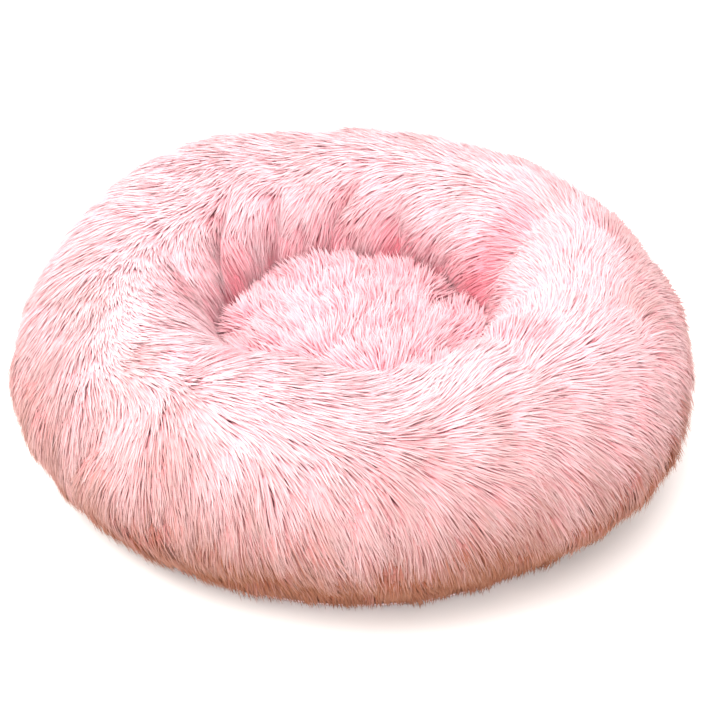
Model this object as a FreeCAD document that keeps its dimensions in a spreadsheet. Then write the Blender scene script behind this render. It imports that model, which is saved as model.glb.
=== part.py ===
import FreeCAD, Part
import Sketcher
import math
import os

# Round plush pet bed: a fur-covered ring bolster round a fur-covered pad, on a flat non-slip base.
# Millimetres, +Z up. The origin is the middle of the base's underside, where the bed stands.
# The base opens at the back with a curved zip, whose slider runs round the bed's own Z axis.

doc = FreeCAD.newDocument("PetCushionBed")
sheet = doc.addObject("Spreadsheet::Sheet", "Sizes")
AXIS_Z = FreeCAD.Vector(0, 0, 1)

SIZES = {
    # bolster: a ring of round section, measured over the lying pile
    "ring_radius": 207, "tube_radius": 90, "ring_height": 93, "pile_depth": 20,
    # bolster's inner cushion: a ring with a round top, whose foot stands on the base nearer the nest
    "cushion_radius": 70, "cushion_high": 92, "cushion_foot": 187.4, "cushion_base": 2.4,
    # outer skirt of the cover, from the widest place down to the hem
    "skirt_radius": 99.2, "hem_outside": 253, "hem_inside": 245, "hem_height": 10.6, "hem_root": 22.85,
    # inner edge of the bolster's cover, where it meets the pad
    "nest_inside": 122.4, "nest_height": 62.2,
    # pad: inner cushion and cover
    "pad_flat": 104, "pad_bottom": 2.4, "pad_waist": 32.4, "pad_low_round": 30, "pad_high_round": 27.6,
    "pad_crown": 76, "pad_crown_round": 400, "pad_rim": 117, "pad_rim_low": 59.4, "pad_rim_high": 74,
    "pad_middle": 10, "pad_top": 98, "pad_top_round": 300, "pad_under": 76.6, "pad_under_round": 350,
    # cloth thickness and the air between two layers
    "cloth": 1, "layer_gap": 0.4,
    # seam between pad and bolster
    "seam_inside": 117.4, "seam_outside": 136, "seam_low": 58.6, "seam_high": 61,
    # base panel and its field of anti-slip dots
    "base_low": 1, "base_flat": 200, "base_rim": 226.2, "base_rim_low": 9.5, "base_rise_round": 44.63,
    "dots_radius": 190,
    # hem band, zip tapes and zip coils
    "band_inside": 226.6, "band_low": 9.5, "band_high": 10.5,
    "zip_radius": 239, "zip_begin": 10, "zip_sweep": 160, "tape_low": 9.7, "tape_high": 10.3,
    "tape_inset": 0.8, "coil_inset": 1, "coil_width": 2.6, "coil_low": 7.7,
    "coil_begin": 12.85, "coil_sweep": 152.3,
    # slider, pull tab and stops
    "slider_rest": 14, "slider_half": 4.5, "slider_width": 5.2, "slider_nose": 3.4, "plate": 1,
    "slider_low": 6.1, "slider_high": 11.8, "flange": 1.1, "flange_high": 9.2, "post_half": 0.6,
    "post_long": 2.4, "bridge_half": 1, "bridge_long": 3, "bridge_low": 3.5, "bridge_leg": 1,
    "pin_height": 5.2, "pin_radius": 0.5, "tab_half": 3, "tab_window": 1.5, "tab_window_long": 5,
    "tab_long": 24, "tab_thick": 1, "tab_round": 2.9, "stop_long": 3, "stop_gap_angle": 0.03,
    "post_inset": 0.2,
    # sewing thread: running stitches in rows, then hand stitches over the liners' filling slits
    "stitch_long": 4.2, "stitch_wide": 0.9, "stitch_thick": 0.6, "stitch_pitch": 6.4,
    "inner_row": 228.8, "outer_row": 249.5, "row_end_clear": 3, "label_row": 232.4, "label_row_clear": 0.6,
    "closing_long": 5.88, "closing_proud": 0.1,
    "ring_slit_lean": 230, "ring_slit_begin": 250, "ring_slit_sweep": 40,
    "pad_slit_lean": -12, "pad_slit_begin": 255, "pad_slit_sweep": 30,
    # small cloth pieces: end tabs of the zip and the blank label
    "end_tab_inside": 228, "end_tab_outside": 244.4, "end_tab_sweep": 2.6, "end_tab_low": 9, "end_tab_lap": 0.7,
    "label_inside": 231, "label_outside": 243, "label_sweep": 7.5, "label_low": 9.1, "label_at": 286,
}
for row, (alias, number) in enumerate(SIZES.items(), start=1):
    sheet.set(f"A{row}", alias)
    sheet.set(f"B{row}", str(number))
    sheet.setAlias(f"B{row}", alias)
doc.recompute()


def size(text):
    """The value of an expression in the sheet's names."""
    found = sheet.evalExpression(text)
    return float(getattr(found, "Value", found))


def bound(text):
    """The same expression with every sheet name led by the sheet's own name, for setExpression."""
    words = text.replace("(", "( ").replace(")", " )").split()
    return " ".join(f"Sizes.{word}" if word in SIZES else word for word in words)


def mid_of_arc(begin, end, radius, side):
    """The point half-way along the arc from begin to end that bulges to the right (+1) or left (-1)."""
    along = end - begin
    half = along.Length / 2
    rise = radius - math.sqrt(max(radius * radius - half * half, 0.0))
    across = FreeCAD.Vector(along.y, -along.x, 0).normalize() * side
    return (begin + end) * 0.5 + across * rise


def add_outline(sketch, points, arcs):
    """Draw a closed outline: straight from each point to the next, or an arc where arcs names one.

    A point is a pair of expressions; arcs maps a point's number to (radius expression, side).
    Every point and radius is held by a constraint that reads the sheet.
    """
    places = [FreeCAD.Vector(size(bound(across)), size(bound(up)), 0) for across, up in points]
    first = sketch.GeometryCount
    for number, begin in enumerate(places):
        end = places[(number + 1) % len(places)]
        if number in arcs:
            radius, side = arcs[number]
            middle = mid_of_arc(begin, end, size(bound(radius)), side)
            turning = (begin, middle, end) if side > 0 else (end, middle, begin)
            sketch.addGeometry(Part.Arc(*turning), False)
        else:
            sketch.addGeometry(Part.LineSegment(begin, end), False)
    begins = []
    ends = []
    for number, begin in enumerate(places):
        curve = sketch.Geometry[first + number]
        forward = curve.StartPoint.distanceToPoint(begin) < 1e-6
        begins.append(1 if forward else 2)
        ends.append(2 if forward else 1)
    for number in range(len(places)):
        after = (number + 1) % len(places)
        sketch.addConstraint(Sketcher.Constraint(
            "Coincident", first + number, ends[number], first + after, begins[after]))
    for number, (across, up) in enumerate(points):
        for kind, text, value in (("DistanceX", across, places[number].x), ("DistanceY", up, places[number].y)):
            held = sketch.addConstraint(Sketcher.Constraint(
                kind, -1, 1, first + number, begins[number], value))
            sketch.setExpression(f"Constraints[{held}]", bound(text))
    for number, (radius, side) in arcs.items():
        held = sketch.addConstraint(Sketcher.Constraint("Radius", first + number, size(bound(radius))))
        sketch.setExpression(f"Constraints[{held}]", bound(radius))


def new_body(label):
    """A body whose name and label are the piece's name."""
    body = doc.addObject("PartDesign::Body", label)
    body.Label = label
    return body


def new_sketch(body, name, plane):
    """A sketch on one of the body's own origin planes."""
    sketch = body.newObject("Sketcher::SketchObject", name)
    support = [item for item in body.Origin.OriginFeatures if item.Role == plane][0]
    sketch.AttachmentSupport = (support, [""])
    sketch.MapMode = "FlatFace"
    return sketch


def turned_piece(label, outlines, begin=None, sweep=None):
    """A piece of cloth or filling turned round the bed's axis, whole or from one angle over a sweep.

    outlines are closed outlines in radius and height.
    """
    body = new_body(label)
    sketch = new_sketch(body, label + "_section", "XZ_Plane")
    for points, arcs in outlines:
        add_outline(sketch, points, arcs)
    turn = body.newObject("PartDesign::Revolution", label + "_turn")
    turn.Profile = sketch
    turn.ReferenceAxis = (sketch, ["V_Axis"])
    if sweep:
        turn.setExpression("Angle", bound(sweep))
        body.Placement = FreeCAD.Placement(FreeCAD.Vector(), AXIS_Z, size(bound(begin)))
        body.setExpression("Placement.Rotation.Angle", bound(begin))
    else:
        turn.Angle = 360
    body.Tip = turn
    doc.recompute()
    return body


def strip(inside, outside, low, high):
    """A rectangle of radius and height, as one outline."""
    return ([(inside, low), (outside, low), (outside, high), (inside, high)], {})


def add_plate(body, name, points, arcs, low, thick):
    """Pad an outline in plan upwards from a height."""
    sketch = new_sketch(body, name + "_plan", "XY_Plane")
    sketch.setExpression("AttachmentOffset.Base.z", bound(low))
    add_outline(sketch, points, arcs)
    pad = body.newObject("PartDesign::Pad", name)
    pad.Profile = sketch
    pad.setExpression("Length", bound(thick))
    body.Tip = pad


def box_plan(low_x, high_x, low_y, high_y):
    """A rectangle in plan."""
    return [(low_x, low_y), (high_x, low_y), (high_x, high_y), (low_x, high_y)]


FOOT_OUTER = "cushion_high - cushion_base"
FOOT_INNER = "cushion_foot - ring_radius + cushion_radius"


def rounded_ring(inset):
    """The bolster cushion's section, drawn in by an inset: four quarter rounds and one upright side.

    The two upper quarters share the ring's radius, and the two lower ones meet at the foot.
    """
    radius = f"cushion_radius - {inset}"
    left = f"ring_radius - ( {radius} )"
    right = f"ring_radius + ( {radius} )"
    points = [("cushion_foot", f"cushion_base + {inset}"), (right, "cushion_high"),
              ("ring_radius", f"cushion_high + ( {radius} )"), (left, "cushion_high"),
              (left, f"cushion_base + {FOOT_INNER}")]
    arcs = {0: (f"{FOOT_OUTER} - {inset}", 1), 1: (radius, 1), 2: (radius, 1), 4: (f"{FOOT_INNER} - {inset}", 1)}
    return (points, arcs)


def pad_section(inset):
    """Half of the pad cushion's section, drawn in by an inset: flat under, rounded edge, crowned top."""
    low = f"pad_bottom + {inset}"
    edge = f"pad_flat + pad_low_round - {inset}"
    shoulder = "pad_flat + pad_low_round - pad_high_round"
    points = [("0", low), ("pad_flat", low), (edge, "pad_waist"),
              (shoulder, f"pad_waist + pad_high_round - {inset}"), ("pad_middle", f"pad_crown - {inset}"),
              ("0", f"pad_crown - {inset}")]
    arcs = {1: (f"pad_low_round - {inset}", 1), 2: (f"pad_high_round - {inset}", 1), 3: ("pad_crown_round", 1)}
    return (points, arcs)


def hollowed(body, outline):
    """Turn a closed hollow out of a body, all the way round the bed's axis."""
    solid_volume = body.Shape.Volume
    sketch = new_sketch(body, body.Label + "_hollow", "XZ_Plane")
    add_outline(sketch, *outline)
    groove = body.newObject("PartDesign::Groove", body.Label + "_groove")
    groove.Profile = sketch
    groove.ReferenceAxis = (sketch, ["V_Axis"])
    groove.Angle = 360
    body.Tip = groove
    doc.recompute()
    if body.Shape.Volume >= solid_volume:
        raise RuntimeError(f"{body.Label} was not hollowed")


# ---- inner cushions: fibre filling in non-woven liners ----
FILL_INSET = "( cloth + layer_gap )"
turned_piece("bolster_fill", [rounded_ring(FILL_INSET)])
hollowed(turned_piece("bolster_liner", [rounded_ring("0")]), rounded_ring("cloth"))
turned_piece("pad_fill", [pad_section(FILL_INSET)])
hollowed(turned_piece("pad_liner", [pad_section("0")]), pad_section("cloth"))

# ---- fur cover of the bolster: open underneath, from the hem up over the top and down to the nest ----
LINED = "cushion_radius + layer_gap"
turned_piece("bolster_cover", [([
    ("hem_outside", "hem_height"), ("ring_radius + tube_radius", "ring_height"),
    ("ring_radius", "ring_height + tube_radius"), ("ring_radius - tube_radius", "ring_height"),
    ("nest_inside", "nest_height"), (f"ring_radius - ( {LINED} )", "nest_height"),
    (f"ring_radius - ( {LINED} )", "cushion_high"), ("ring_radius", f"cushion_high + {LINED}"),
    (f"ring_radius + {LINED}", "cushion_high"), ("hem_inside", "hem_root"), ("hem_inside", "hem_height"),
], {0: ("skirt_radius", 1), 1: ("tube_radius", 1), 2: ("tube_radius", 1), 3: ("tube_radius", 1),
    6: (LINED, -1), 7: (LINED, -1), 8: (f"{FOOT_OUTER} + layer_gap", -1)})])

# ---- fur cover of the pad: a crowned disc whose rim lies inside the bolster's inner wall ----
turned_piece("pad_cover", [([
    ("pad_rim", "pad_rim_low"), ("pad_rim", "pad_rim_high"), ("pad_middle", "pad_top"), ("0", "pad_top"),
    ("0", "pad_under"), ("pad_middle", "pad_under"),
], {1: ("pad_top_round", 1), 5: ("pad_under_round", -1)})])

# ---- seam that joins the pad's cover to the bolster's: a flat tape under both edges ----
turned_piece("nest_seam_tape", [strip("seam_inside", "seam_outside", "seam_low", "seam_high")])

# ---- base: woven panel, flat on the floor with a risen rim, and its anti-slip dots as one disc ----
turned_piece("base_panel", [([
    ("0", "base_low"), ("base_flat", "base_low"), ("base_rim", "base_rim_low"),
    ("base_rim", "base_rim_low + cloth"), ("base_flat", "base_low + cloth"), ("0", "base_low + cloth"),
], {1: ("base_rise_round", 1), 3: ("base_rise_round", -1)})])
turned_piece("anti_slip_dots", [strip("0", "dots_radius", "0", "base_low")])

# ---- join of base and cover: a hem band round the front, two zip tapes round the back ----
turned_piece("hem_band", [strip("band_inside", "hem_outside", "band_low", "band_high")],
             "zip_begin + zip_sweep", "360 - zip_sweep")
turned_piece("zip_tape_inner", [strip("band_inside", "zip_radius - tape_inset", "tape_low", "tape_high")],
             "zip_begin", "zip_sweep")
turned_piece("zip_tape_outer", [strip("zip_radius + tape_inset", "hem_outside", "tape_low", "tape_high")],
             "zip_begin", "zip_sweep")
turned_piece("zip_coil_inner", [strip("zip_radius - coil_inset - coil_width", "zip_radius - coil_inset",
                                      "coil_low", "tape_low")], "coil_begin", "coil_sweep")
turned_piece("zip_coil_outer", [strip("zip_radius + coil_inset", "zip_radius + coil_inset + coil_width",
                                      "coil_low", "tape_low")], "coil_begin", "coil_sweep")

# ---- blank care label, sewn flat under the hem band ----
turned_piece("care_label", [strip("label_inside", "label_outside", "label_low", "band_low")],
             "label_at", "label_sweep")

# ---- zip slider: two plates with rims, joined by a post between the coils, and a bridge below ----
slider = new_body("zip_slider")
PLATE_POINTS = [
    ("zip_radius - slider_width", "0 - slider_nose"), ("zip_radius - slider_width + flange", "0 - slider_half"),
    ("zip_radius + slider_width - flange", "0 - slider_half"), ("zip_radius + slider_width", "0 - slider_nose"),
    ("zip_radius + slider_width", "slider_nose"), ("zip_radius + slider_width - flange", "slider_half"),
    ("zip_radius - slider_width + flange", "slider_half"), ("zip_radius - slider_width", "slider_nose"),
]
add_plate(slider, "slider_under_plate", PLATE_POINTS, {}, "slider_low", "plate")
for side, low_x, high_x in (
        ("inner", "zip_radius - slider_width", "zip_radius - slider_width + flange"),
        ("outer", "zip_radius + slider_width - flange", "zip_radius + slider_width")):
    add_plate(slider, f"slider_{side}_rim", box_plan(low_x, high_x, "0 - slider_nose", "slider_nose"), {},
              "slider_low", "flange_high - slider_low")
add_plate(slider, "slider_post", box_plan("zip_radius - post_half", "zip_radius + post_half",
                                          "0 - slider_half + post_inset",
                                          "0 - slider_half + post_inset + post_long"), {},
          "slider_low", "slider_high - slider_low")
add_plate(slider, "slider_upper_plate", PLATE_POINTS, {}, "slider_high - plate", "plate")
for end, low_y, high_y in (("front", "0 - bridge_long", "0 - bridge_long + bridge_leg"),
                           ("back", "bridge_long - bridge_leg", "bridge_long")):
    add_plate(slider, f"bridge_{end}_leg", box_plan("zip_radius - bridge_half", "zip_radius + bridge_half",
                                                    low_y, high_y), {},
              "bridge_low", "slider_low - bridge_low + plate / 2")
add_plate(slider, "bridge_bar", box_plan("zip_radius - bridge_half", "zip_radius + bridge_half",
                                         "0 - bridge_long", "bridge_long"), {}, "bridge_low", "bridge_leg")

# ---- pull tab: a flat tongue whose cross pin runs through the slider's bridge ----
tab = new_body("zip_pull_tab")
add_plate(tab, "tab_tongue", [
    ("zip_radius - tab_half", "0 - tab_thick / 2"), ("zip_radius - tab_window", "0 - tab_thick / 2"),
    ("zip_radius - tab_window", "tab_window_long"), ("zip_radius + tab_window", "tab_window_long"),
    ("zip_radius + tab_window", "0 - tab_thick / 2"), ("zip_radius + tab_half", "0 - tab_thick / 2"),
    ("zip_radius + tab_half", "tab_long - tab_round"), ("zip_radius", "tab_long"),
    ("zip_radius - tab_half", "tab_long - tab_round"),
], {6: ("tab_half * 1.001", 1), 7: ("tab_half * 1.001", 1)}, "pin_height - tab_thick / 2", "tab_thick")
pin_sketch = new_sketch(tab, "tab_pin_section", "YZ_Plane")
pin_sketch.setExpression("AttachmentOffset.Base.z", "Sizes.zip_radius - Sizes.tab_half")
pin_sketch.addGeometry(Part.Circle(FreeCAD.Vector(0, size("Sizes.pin_height"), 0), AXIS_Z,
                                   size("Sizes.pin_radius")), False)
pin_sketch.addConstraint(Sketcher.Constraint("PointOnObject", 0, 3, -2))
held = pin_sketch.addConstraint(Sketcher.Constraint("DistanceY", -1, 1, 0, 3, size("Sizes.pin_height")))
pin_sketch.setExpression(f"Constraints[{held}]", "Sizes.pin_height")
held = pin_sketch.addConstraint(Sketcher.Constraint("Radius", 0, size("Sizes.pin_radius")))
pin_sketch.setExpression(f"Constraints[{held}]", "Sizes.pin_radius")
pin = tab.newObject("PartDesign::Pad", "tab_pin")
pin.Profile = pin_sketch
pin.setExpression("Length", "2 * Sizes.tab_half")
tab.Tip = pin

for moving in (slider, tab):
    moving.Placement = FreeCAD.Placement(FreeCAD.Vector(), AXIS_Z, size("Sizes.slider_rest"))
    moving.setExpression("Placement.Rotation.Angle", "Sizes.slider_rest")


def grouped_piece(label, solids):
    """Several like solids kept as one piece."""
    piece = doc.addObject("Part::Feature", label)
    piece.Label = label
    piece.Shape = Part.makeCompound(solids)
    return piece


def block_round(radius, low, angle, across, along, tall):
    """A small block centred on a radius at an angle round the bed, standing on a height."""
    block = Part.makeBox(across, along, tall, FreeCAD.Vector(radius - across / 2, -along / 2, low))
    block.rotate(FreeCAD.Vector(), AXIS_Z, angle)
    return block


def stitch_row(label, rows):
    """Rows of running stitches lying flat under a tape; a row is a radius, an angle, a sweep and a height."""
    solids = []
    for radius, begin, sweep, low in rows:
        count = int(math.radians(sweep) * radius / size("Sizes.stitch_pitch"))
        for number in range(count):
            angle = begin + sweep * (number + 0.5) / count
            solids.append(block_round(radius, low, angle, size("Sizes.stitch_wide"),
                                      size("Sizes.stitch_long"), size("Sizes.stitch_thick")))
    return grouped_piece(label, solids)


# ---- sewing: each row of thread is one piece ----
TAPE_STITCH = size("Sizes.tape_low - Sizes.stitch_thick")
BAND_STITCH = size("Sizes.band_low - Sizes.stitch_thick")
ZIP_BEGIN = size("Sizes.zip_begin")
ZIP_END = size("Sizes.zip_begin + Sizes.zip_sweep")
ZIP_ROW = (size("Sizes.zip_begin + Sizes.row_end_clear"), size("Sizes.zip_sweep - 2 * Sizes.row_end_clear"))
HEM_ROW = (ZIP_END + size("Sizes.row_end_clear"), size("360 - Sizes.zip_sweep - 2 * Sizes.row_end_clear"))
stitch_row("zip_stitches_inner", [(size("Sizes.inner_row"), *ZIP_ROW, TAPE_STITCH)])
stitch_row("zip_stitches_outer", [(size("Sizes.outer_row"), *ZIP_ROW, TAPE_STITCH)])
stitch_row("hem_stitches", [(size("Sizes.inner_row"), *HEM_ROW, BAND_STITCH),
                            (size("Sizes.outer_row"), *HEM_ROW, BAND_STITCH)])
stitch_row("nest_seam_stitches", [(size("( Sizes.seam_inside + Sizes.seam_outside ) / 2"), 0, 360,
                                   size("Sizes.seam_high"))])
stitch_row("care_label_stitches", [(size("Sizes.label_row"), size("Sizes.label_at + Sizes.label_row_clear"),
                                    size("Sizes.label_sweep - 2 * Sizes.label_row_clear"),
                                    size("Sizes.label_low - Sizes.stitch_thick"))])


def closing_stitches(label, centre_radius, centre_height, round_radius, slit, count):
    """Hand stitches across a liner's filling slit: short bars laid on its round, side by side.

    slit leads the sheet's names for the slit's lean round the section, its first angle and its sweep.
    """
    long = size("Sizes.closing_long")
    wide = size("Sizes.stitch_wide")
    lean, begin, sweep = (size(f"Sizes.{slit}_{word}") for word in ("lean", "begin", "sweep"))
    foot = FreeCAD.Vector(round_radius + size("Sizes.closing_proud"), -wide / 2, -long / 2)
    solids = []
    for number in range(count):
        bar = Part.makeBox(size("Sizes.stitch_thick"), wide, long, foot)
        bar.rotate(FreeCAD.Vector(), FreeCAD.Vector(0, 1, 0), -lean)
        bar.translate(FreeCAD.Vector(centre_radius, 0, centre_height))
        bar.rotate(FreeCAD.Vector(), AXIS_Z, begin + sweep * number / (count - 1))
        solids.append(bar)
    return grouped_piece(label, solids)


RING_STITCHES = 20
PAD_STITCHES = 14
closing_stitches("bolster_liner_closing_stitches", size("Sizes.cushion_foot"),
                 size(bound(f"cushion_base + {FOOT_INNER}")), size(bound(FOOT_INNER)), "ring_slit", RING_STITCHES)
closing_stitches("pad_liner_closing_stitches", size("Sizes.pad_flat"), size("Sizes.pad_waist"),
                 size("Sizes.pad_low_round"), "pad_slit", PAD_STITCHES)

# ---- stops at the ends of the coils, and the cloth tabs that finish the tape ends ----
STOP_LONG = size("Sizes.stop_long")
COIL_TALL = size("Sizes.tape_low - Sizes.coil_low")
STOP_TURN = math.degrees(STOP_LONG / size("Sizes.zip_radius")) / 2
COIL_MID = size("Sizes.coil_inset + Sizes.coil_width / 2")
top_angle = size("Sizes.coil_begin - Sizes.stop_gap_angle") - STOP_TURN
bottom_angle = size("Sizes.coil_begin + Sizes.coil_sweep + Sizes.stop_gap_angle") + STOP_TURN
grouped_piece("zip_top_stops", [
    block_round(size("Sizes.zip_radius") + side * COIL_MID, size("Sizes.coil_low"), top_angle,
                size("Sizes.coil_width"), STOP_LONG, COIL_TALL) for side in (-1, 1)])
grouped_piece("zip_bottom_stop", [
    block_round(size("Sizes.zip_radius"), size("Sizes.coil_low"), bottom_angle,
                size("2 * Sizes.coil_inset + 2 * Sizes.coil_width"), STOP_LONG, COIL_TALL)])
TAB_SWEEP = size("Sizes.end_tab_sweep")
TAB_LAP = size("Sizes.end_tab_lap")
end_tabs = []
for begin in (ZIP_BEGIN - TAB_LAP, ZIP_END + TAB_LAP - TAB_SWEEP):
    flap = Part.makeBox(size("Sizes.end_tab_outside - Sizes.end_tab_inside"),
                        math.radians(TAB_SWEEP) * size("Sizes.zip_radius"),
                        size("Sizes.band_low - Sizes.end_tab_low"),
                        FreeCAD.Vector(size("Sizes.end_tab_inside"), 0, size("Sizes.end_tab_low")))
    flap.rotate(FreeCAD.Vector(), AXIS_Z, begin)
    end_tabs.append(flap)
grouped_piece("zip_end_tabs", end_tabs)

doc.recompute()

# ---- test every object, then write one file for each piece ----
for item in doc.Objects:
    if "Invalid" in item.State or "Error" in item.State:
        raise RuntimeError(f"{item.Name} failed: {item.State}")
PIECES = [item for item in doc.Objects if item.TypeId in ("PartDesign::Body", "Part::Feature")]
os.makedirs("parts", exist_ok=True)
for piece in PIECES:
    shape = piece.Shape
    if shape.isNull() or not shape.isValid() or not shape.Solids:
        raise RuntimeError(f"{piece.Label} has no sound shape")
    bounds = shape.BoundBox
    print(f"{piece.Label:34s} solids {len(shape.Solids):4d}  volume {shape.Volume / 1000:10.2f} cm3"
          f"  z {bounds.ZMin:7.2f} to {bounds.ZMax:7.2f}  x {bounds.XMin:8.2f} to {bounds.XMax:8.2f}")
    shape.exportStep(f"parts/{piece.Label}.step")
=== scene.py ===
import bpy
import numpy as np
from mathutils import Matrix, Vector


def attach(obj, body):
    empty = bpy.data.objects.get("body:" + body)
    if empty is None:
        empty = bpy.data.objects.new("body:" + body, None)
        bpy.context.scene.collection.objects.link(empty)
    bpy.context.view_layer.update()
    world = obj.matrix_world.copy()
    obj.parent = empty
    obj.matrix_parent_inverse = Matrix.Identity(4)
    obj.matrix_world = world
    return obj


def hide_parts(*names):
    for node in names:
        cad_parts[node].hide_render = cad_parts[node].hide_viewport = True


# Round plush pet bed: a long-pile fur bolster round a fur-covered pad, on a flat zipped base.
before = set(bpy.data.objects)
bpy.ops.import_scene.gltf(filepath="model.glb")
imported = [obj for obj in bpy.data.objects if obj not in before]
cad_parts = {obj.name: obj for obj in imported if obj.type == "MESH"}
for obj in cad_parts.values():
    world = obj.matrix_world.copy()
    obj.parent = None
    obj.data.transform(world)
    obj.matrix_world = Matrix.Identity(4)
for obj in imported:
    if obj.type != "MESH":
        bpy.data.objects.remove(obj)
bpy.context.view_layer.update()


# ---- Camera and studio ----------------------------------------------------------------------
# A pale floor, white surroundings and three large soft lamps, as in a product studio.
# The camera looks down at the front of the bed from a little over one and a half metres away.
camera_rise = np.radians(35.94)
camera_distance = 1.55
bed_middle = Vector((0.0017, 0.0, 0.074))
framing_drop = 0.0067
aim = bed_middle - framing_drop * Vector((0.0, np.sin(camera_rise), np.cos(camera_rise)))
back_along_view = Vector((0.0, -np.cos(camera_rise), np.sin(camera_rise)))
camera_data = bpy.data.cameras.new("studio_camera")
camera_data.sensor_width = 36.0
camera_data.lens = 87.5
camera = bpy.data.objects.new("studio_camera", camera_data)
camera.location = aim + camera_distance * back_along_view
camera.rotation_euler = back_along_view.to_track_quat("Z", "Y").to_euler()
bpy.context.scene.collection.objects.link(camera)
bpy.context.scene.camera = camera

floor_half = 6
floor_mesh = bpy.data.meshes.new("studio_floor")
floor_mesh.from_pydata([(-floor_half, -floor_half, 0), (floor_half, -floor_half, 0),
                        (floor_half, floor_half, 0), (-floor_half, floor_half, 0)], [], [(0, 1, 2, 3)])
floor = bpy.data.objects.new("studio_floor", floor_mesh)
bpy.context.scene.collection.objects.link(floor)
floor_finish = bpy.data.materials.new("pale_floor")
floor_finish.use_nodes = True
floor_shader = floor_finish.node_tree.nodes["Principled BSDF"]
floor_shader.inputs["Base Color"].default_value = (0.93, 0.91, 0.89, 1)
floor_shader.inputs["Roughness"].default_value = 0.9
floor_shader.inputs["Specular IOR Level"].default_value = 0.1
floor_mesh.materials.append(floor_finish)

surroundings = bpy.data.worlds.new("white_surroundings")
surroundings.use_nodes = True
surroundings.node_tree.nodes["Background"].inputs["Color"].default_value = (1.0, 0.965, 0.96, 1)
surroundings.node_tree.nodes["Background"].inputs["Strength"].default_value = 1.6
bpy.context.scene.world = surroundings
bpy.context.scene.view_settings.view_transform = "Standard"


def soft_lamp(name, place, width, power, tint):
    """A square area lamp at a place, turned towards the middle of the bed."""
    lamp_data = bpy.data.lights.new(name, "AREA")
    lamp_data.shape = "SQUARE"
    lamp_data.size = width
    lamp_data.energy = power
    lamp_data.color = tint
    lamp = bpy.data.objects.new(name, lamp_data)
    lamp.location = place
    lamp.rotation_euler = Vector(place).to_track_quat("Z", "Y").to_euler()
    bpy.context.scene.collection.objects.link(lamp)


soft_lamp("key_lamp", (-1.3, -0.35, 1.8), 1.5, 36.0, (1.0, 0.985, 0.97))
soft_lamp("top_lamp", (0.1, 0.3, 2.4), 1.8, 10.0, (1.0, 0.99, 0.98))
soft_lamp("front_lamp", (-0.2, -1.3, 1.9), 1.5, 22.0, (1.0, 0.985, 0.97))


# ---- Bolster: backing cloth of the fur cover ------------------------------------------------
# The knitted backing that the pile grows from: a stuffed ring, gathered by hand into soft folds
# that cross its inner wall, and sewn to the base at the hem. It stands for the CAD cover.
def grid_faces(rows, columns, first=0, close_rows=False, close_columns=False, flip=False):
    """Square faces between neighbouring places of a grid, numbered row by row from first."""
    number = first + np.arange(rows * columns).reshape(rows, columns)
    if close_rows:
        number = np.vstack([number, number[:1]])
    if close_columns:
        number = np.hstack([number, number[:, :1]])
    faces = np.stack([number[:-1, :-1], number[:-1, 1:], number[1:, 1:], number[1:, :-1]], -1).reshape(-1, 4)
    return faces[:, ::-1] if flip else faces


def make_piece(name, body, places, faces):
    """A smooth mesh of the faces over the places, riding on a body."""
    mesh = bpy.data.meshes.new(name)
    mesh.from_pydata(places.reshape(-1, 3).tolist(), [], [face.tolist() for face in faces])
    mesh.update()
    mesh.shade_smooth()
    piece = bpy.data.objects.new(name, mesh)
    bpy.context.scene.collection.objects.link(piece)
    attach(piece, body)
    return piece


def soft_noise(places, wave, seed, count=14):
    """Sum of equal sine waves of about one wavelength, each in its own random direction: about -1 to 1."""
    rng = np.random.default_rng(seed)
    ways = rng.normal(size=(count, 3))
    ways *= (2 * np.pi / wave / np.linalg.norm(ways, axis=1))[:, None] * rng.uniform(0.6, 1.4, (count, 1))
    phases = rng.uniform(0, 2 * np.pi, count)
    total = np.zeros(places.shape[:-1])
    for way, phase in zip(ways, phases):
        total += np.sin(places @ way + phase)
    return total / np.sqrt(count / 2)


def angle_gap(turn, middle_degrees):
    """How far each angle round the bed lies from a middle, in degrees, -180 to 180."""
    return (np.degrees(turn) - middle_degrees + 180) % 360 - 180


ring_radius = 0.207
ring_middle = 0.090
# Each fold crosses the ring: angle round the bed, drift per degree of lean, half width and depth,
# then the lean round the tube where it is deepest and how far it reaches, in degrees and millimetres.
FOLDS = (
    (-133, -0.25, 6.5, 8, 104, 34), (-49, 0.12, 6.0, 8, 92, 32), (21, -0.12, 7.0, 11, 138, 40),
    (72, -0.10, 5.0, 9, 160, 30), (97, 0.30, 5.5, 9, 152, 32), (123, 0.20, 5.0, 4, 150, 36),
    (150, 0.45, 7.0, 8, 150, 30), (172, 0.30, 5.0, 4, 140, 30), (-17, 0.30, 6.0, 5, 66, 26),
    (-91, 0.10, 7.0, 3, 155, 20), (47, 0.15, 8.0, 4, 60, 26),
    (-75, 0.20, 8.0, 3, 30, 26), (0, -0.20, 7.0, 4, 20, 22),
)
# Each swell is a place where the filling has gathered: angle round the bed and half width, lean and
# reach round the tube, in degrees, and how proud it stands in millimetres. A swell below zero is a
# hollow that the filling has moved away from.
SWELLS = (
    (-90, 44, 130, 36, 15), (52, 24, 135, 34, 4), (-165, 26, 100, 40, 2), (-20, 24, 95, 40, 2),
    (142, 30, 50, 38, 15), (58, 28, 50, 38, -5), (-160, 26, -20, 42, 6), (180, 24, 36, 34, -9),
    (8, 22, 48, 34, -6), (-28, 24, -18, 30, 6), (47, 14, 150, 26, 9),
    (-82, 55, -42, 22, -13), (-172, 24, 0, 26, 6),
)


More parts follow.
